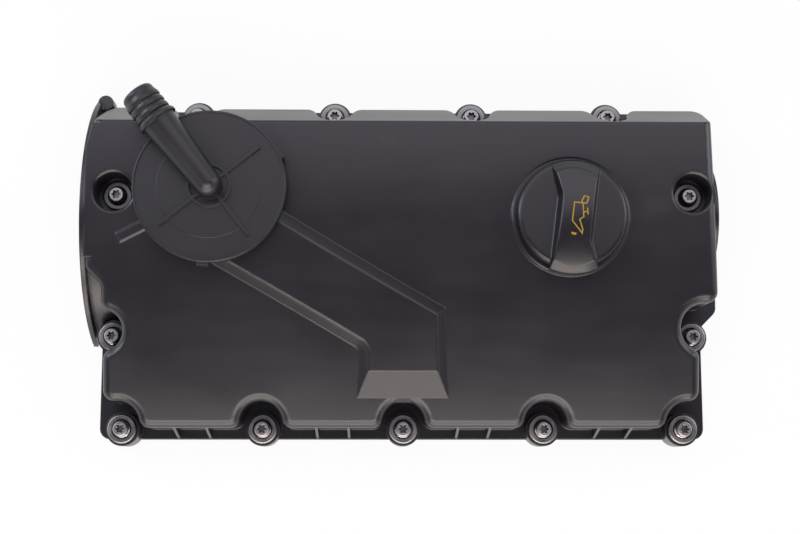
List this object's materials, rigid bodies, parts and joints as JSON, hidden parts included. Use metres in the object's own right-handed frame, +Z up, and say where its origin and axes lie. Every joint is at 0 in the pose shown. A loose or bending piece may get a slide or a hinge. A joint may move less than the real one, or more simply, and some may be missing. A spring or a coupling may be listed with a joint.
{
  "type": "engine valve cover",
  "caption": "Moulded valve cover with crankcase breather, oil filler cap and captive bolts, open underneath.",
  "frame": {"origin": "on the gasket plane, midway along the engine and midway between the upper and lower end bolts", "axes": "+X along the camshaft away from the breather end, +Y towards the sloped rear edge, +Z up out of the cover"},
  "size_m": [0.4025, 0.2291, 0.0961],
  "materials": {
    "black_moulding": "fine satin grain",
    "lid_moulding": "satin",
    "cap_moulding": "satin",
    "plate_plastic": "smooth",
    "seal_rubber": "smooth",
    "bush_rubber": "matt",
    "diaphragm_rubber": "matt",
    "zinc_bolt": "zinc plated",
    "pressed_steel": "zinc plated, pressed",
    "spring_steel": "drawn wire"
  },
  "bodies": {
    "cover": {"cover_shell": "black_moulding", "cover_gasket": "seal_rubber", "oil_baffle": "black_moulding", "breather_lid": "lid_moulding", "breather_diaphragm": "diaphragm_rubber", "breather_spring": "spring_steel", "front_bolts": "zinc_bolt", "rear_bolts": "zinc_bolt", "left_end_bolts": "zinc_bolt", "right_end_bolts": "zinc_bolt", "front_cup_sleeves": "pressed_steel", "rear_cup_sleeves": "pressed_steel", "left_end_cup_sleeves": "pressed_steel", "right_end_cup_sleeves": "pressed_steel", "front_grommets": "bush_rubber", "rear_grommets": "bush_rubber", "left_end_grommets": "bush_rubber", "right_end_grommets": "bush_rubber"},
    "valve_plate": {"diaphragm_plate": "plate_plastic"},
    "cap": {"filler_cap": "cap_moulding", "cap_seal": "seal_rubber"}
  },
  "joints": [
    {"name": "cap_turn", "type": "hinge", "parent": "cover", "child": "cap", "pos_m": [0.1028, 0.0266, 0.0612], "axis": [0, 0, 1], "range_deg": [0, 90]},
    {"name": "valve_lift", "type": "slide", "parent": "cover", "child": "valve_plate", "axis": [0, 0, 1], "range_m": [0, 0.003], "stiffness_N_per_m": 250, "deforming": ["breather_spring", "breather_diaphragm"]}
  ]
}
